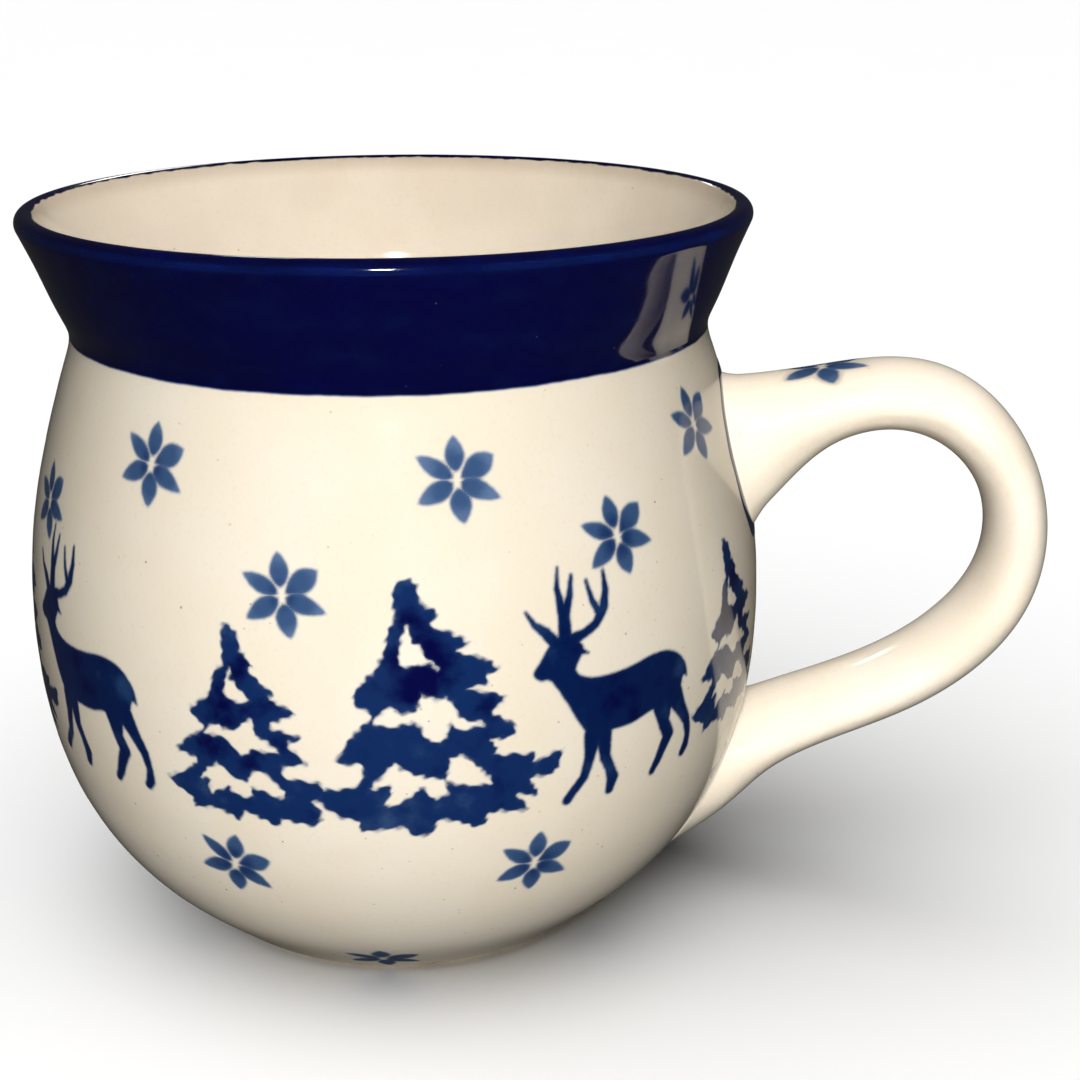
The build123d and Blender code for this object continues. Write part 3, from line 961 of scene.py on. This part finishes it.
# --- decoration ---------------------------------------------------------------------------------------
FRIEZE_FOOT = 38.3          # rise of the frieze's feet
LARGE_FIR_GIRTH = 1.0
LARGE_FIR_DROP = 0.9        # how far its foot lies below the frieze's foot
SMALL_FIR_GIRTH = -21.0
STAG_GIRTH = 28.0
STAG_LIFT = 0.2             # how far the stag's feet stand above the frieze's foot
SMALL_FIR_BY_HANDLE = (51.0, FRIEZE_FOOT + 2.1)
FIR_BOX = ((-13.0, -1.5), (19.5, 34.0))
FIR_PAIR_BOX = ((-33.5, -1.5), (19.5, 34.0))
STAG_BOX = ((-14.0, -0.8), (14.0, 32.0))
FLOWER_BOX = ((-6.2, -6.2), (6.2, 6.2))
# flowers: (girth, rise, turn in degrees, how well the stamp was loaded)
FLOWERS = [
    (49.0, 81.8, 4, 0.3), (7.5, 81.2, -4, -0.2), (-34.8, 81.2, -6, 0.1), (-76.0, 81.6, 9, -0.1),
    (-117.5, 81.0, -14, 0.2), (-158.0, 81.5, 3, 0.0), (-199.0, 81.2, -12, 0.25), (-233.0, 81.6, 10, -0.2),
    (28.8, 71.9, 5, 0.4), (-14.4, 68.0, 3, 0.05), (-58.8, 71.7, 10, 0.2), (-101.0, 71.9, -6, -0.2),
    (-143.5, 72.3, 12, 0.1), (-186.0, 71.8, -10, 0.3), (-228.0, 72.4, 3, 0.0),
    (56.5, 29.6, 5, 0.2), (16.6, 30.3, -9, 0.45), (-23.5, 30.8, -17, 0.45), (-64.0, 31.2, -8, 0.3),
    (-104.0, 30.6, 12, 0.0), (-144.0, 31.1, 2, 0.25), (-184.0, 30.7, -12, 0.1), (-222.0, 31.0, 9, 0.3),
    (39.5, 7.6, 20, 0.3), (-5.7, 6.2, -5, 0.3), (-51.0, 7.8, -5, 0.1), (-97.0, 7.4, 16, 0.3),
    (-142.0, 7.7, 4, 0.0), (-187.0, 7.5, -14, 0.2), (-232.0, 7.8, 7, 0.3),
]
HANDLE_FLOWER_RUN = 20.7    # distance along the handle's line to the middle of its flower

fir_cobalt = stamped_colour("frieze_cobalt", COBALT, COBALT_DEEP, COBALT_PALE, 2.0)
stag_cobalt = stamped_colour("stag_cobalt", STAG_BLUE, COBALT_DEEP, STAG_PALE, 2.2)
flower_cobalt = stamped_colour("flower_cobalt", FLOWER_BLUE, FLOWER_DEEP, FLOWER_PALE, 1.1)
large_fir = fir_drawing(LARGE_FIR, LARGE_FIR_SNOW, LARGE_FIR_TONES)
small_fir = fir_drawing(SMALL_FIR, SMALL_FIR_SNOW, SMALL_FIR_TONES)
fir_pair = side_by_side(large_fir, small_fir, (SMALL_FIR_GIRTH - LARGE_FIR_GIRTH, LARGE_FIR_DROP))
for repeat in range(REPEATS):
    number = str(repeat + 1)
    shift = -repeat * REPEAT
    fir_ground = on_belly(LARGE_FIR_GIRTH + shift, FRIEZE_FOOT - LARGE_FIR_DROP)
    if repeat < REPEATS - 1:
        stamp("fir_pair_stamp_" + number, fir_pair, *FIR_PAIR_BOX, fir_ground, fir_cobalt)
    else:
        stamp("large_fir_stamp", large_fir, *FIR_BOX, fir_ground, fir_cobalt)
        stamp("small_fir_stamp", small_fir, *FIR_BOX, on_belly(*SMALL_FIR_BY_HANDLE), fir_cobalt)
    stamp("stag_stamp_" + number, stag_drawing, *STAG_BOX,
          on_belly(STAG_GIRTH + shift, FRIEZE_FOOT + STAG_LIFT), stag_cobalt)
for index, (girth, rise, turn, load) in enumerate(FLOWERS):
    stamp("flower_stamp_" + str(index + 1), partial(flower_drawing, load=load), *FLOWER_BOX,
          on_belly(girth, rise, turn, true_size=True), flower_cobalt)


def on_handle(x, y, lift):
    """The handle's outer side around its flower: x along the handle and y across it."""
    run = HANDLE_FLOWER_RUN + x
    wide = np.interp(run, HANDLE_RUN, HANDLE_LINE[:, 3]) / 2 + GLAZE
    return handle_point(run, y / (0.86 * wide), lift)


stamp("flower_stamp_handle", flower_drawing, *FLOWER_BOX, on_handle, flower_cobalt)

# --- floor, light and camera --------------------------------------------------------------------------
FLOOR_SIZE = 60000.0
CAMERA_PLACE = Vector((40.70, -230.80, 132.84)) * MM
CAMERA_AIM = Vector((19.92, 3.51, 50.43)) * MM
CAMERA_ROLL = -0.138
LENS = 57.43
MUG_MIDDLE = Vector((10, 0, 52)) * MM
KEY_PLACE = Vector((34, -256, 196)) * MM
KEY_SIZE = 24.0
KEY_POWER = 0.3
FLASH_PLACE = Vector((126, -1010, 620)) * MM
FLASH_SIZE = 90.0
FLASH_POWER = 6.4
BACK_PLACE = Vector((40, 520, 560)) * MM
BACK_SIZE = 420.0
BACK_POWER = 3.8
GLINT_PLACE = Vector((-140, 420, 300)) * MM
GLINT_SIZE = 45.0
GLINT_POWER = 0.06
LOW_PLACE = Vector((40, -260, 8)) * MM
LOW_SIZE = 100.0
LOW_POWER = 0.38
FILL_PLACE = Vector((240, -140, 190)) * MM
FILL_SIZE = 200.0
FILL_POWER = 0.26
SIDE_LIT = ("handle_coat", "rim_coat", "inner_coat")
SUN_DIRECTION = Vector((0.2, 0.3, -1.0))
SUN_SOFTNESS = 90.0
SUN_STRENGTH = 3.8
WORLD_LIGHT = 0.032
STUDIO_COLOUR = (1.0, 0.98, 0.95)
WORLD_COLOUR = (1.0, 0.98, 0.93, 1.0)


def look_along(direction, roll=0.0):
    """Rotation of a camera or light that points along a direction."""
    turn = direction.to_track_quat("-Z", "Y").to_matrix().to_4x4()
    return turn @ Matrix.Rotation(math.radians(roll), 4, "Z")


def make_floor():
    mesh = bpy.data.meshes.new("floor")
    reach = FLOOR_SIZE / 2 * MM
    corners = [(-reach, -reach, 0), (reach, -reach, 0), (reach, reach, 0), (-reach, reach, 0)]
    mesh.from_pydata(corners, [], [(0, 1, 2, 3)])
    mesh.materials.append(floor_paper())
    floor = bpy.data.objects.new("floor", mesh)
    bpy.context.scene.collection.objects.link(floor)
    floor.visible_diffuse = False
    floor.visible_glossy = False
    return floor


def light_group(name, objects, state):
    """A light's list of what it lights: only these objects, or everything but them."""
    group = bpy.data.collections.new(name)
    for item in objects:
        group.objects.link(item)
    for entry in group.collection_objects:
        entry.light_linking.link_state = state
    return group


def put_light(name, data, place, direction, power, colour, lights):
    """A light that shows in no picture itself and lights only a group of objects."""
    data.energy = power
    data.color = colour
    light = bpy.data.objects.new(name, data)
    light.matrix_world = Matrix.Translation(place) @ look_along(direction)
    light.visible_camera = False
    light.light_linking.receiver_collection = lights
    bpy.context.scene.collection.objects.link(light)
    return light


def area_light(name, place, size, power, colour, lights):
    """A soft round light that points at the mug."""
    data = bpy.data.lights.new(name, "AREA")
    data.shape = "DISK"
    data.size = size * MM
    return put_light(name, data, place, MUG_MIDDLE - place, power, colour, lights)


def sun_light(name, softness, power, lights):
    """An even soft light from above."""
    data = bpy.data.lights.new(name, "SUN")
    data.angle = math.radians(softness)
    return put_light(name, data, Vector((0, 0, 1)), SUN_DIRECTION, power, (1.0, 1.0, 1.0), lights)


floor = make_floor()
only_floor = light_group("only_floor", [floor], "INCLUDE")
all_but_floor = light_group("all_but_floor", [floor], "EXCLUDE")
side_lit = light_group("side_lit", [bpy.data.objects[name] for name in SIDE_LIT], "INCLUDE")
area_light("key_light", KEY_PLACE, KEY_SIZE, KEY_POWER, (1.0, 0.985, 0.95), all_but_floor)
area_light("back_glint", GLINT_PLACE, GLINT_SIZE, GLINT_POWER, STUDIO_COLOUR, all_but_floor)
for name, place, size, power, lights in (
    ("flash_light", FLASH_PLACE, FLASH_SIZE, FLASH_POWER, all_but_floor),
    ("back_light", BACK_PLACE, BACK_SIZE, BACK_POWER, all_but_floor),
    ("low_light", LOW_PLACE, LOW_SIZE, LOW_POWER, all_but_floor),
    ("fill_light", FILL_PLACE, FILL_SIZE, FILL_POWER, side_lit),
):
    soft_light = area_light(name, place, size, power, STUDIO_COLOUR, lights)
    soft_light.visible_glossy = False
sun_light("floor_light", SUN_SOFTNESS, SUN_STRENGTH, only_floor)

world = bpy.data.worlds.new("studio")
world.use_nodes = True
world.node_tree.nodes["Background"].inputs["Color"].default_value = WORLD_COLOUR
world.node_tree.nodes["Background"].inputs["Strength"].default_value = WORLD_LIGHT
bpy.context.scene.world = world
bpy.context.scene.view_settings.view_transform = "Standard"

camera_data = bpy.data.cameras.new("camera")
camera_data.lens = LENS
camera_data.sensor_width = 36.0
camera_data.clip_start = 0.01
camera = bpy.data.objects.new("camera", camera_data)
camera.matrix_world = Matrix.Translation(CAMERA_PLACE) @ look_along(CAMERA_AIM - CAMERA_PLACE, CAMERA_ROLL)
bpy.context.scene.collection.objects.link(camera)
bpy.context.scene.camera = camera
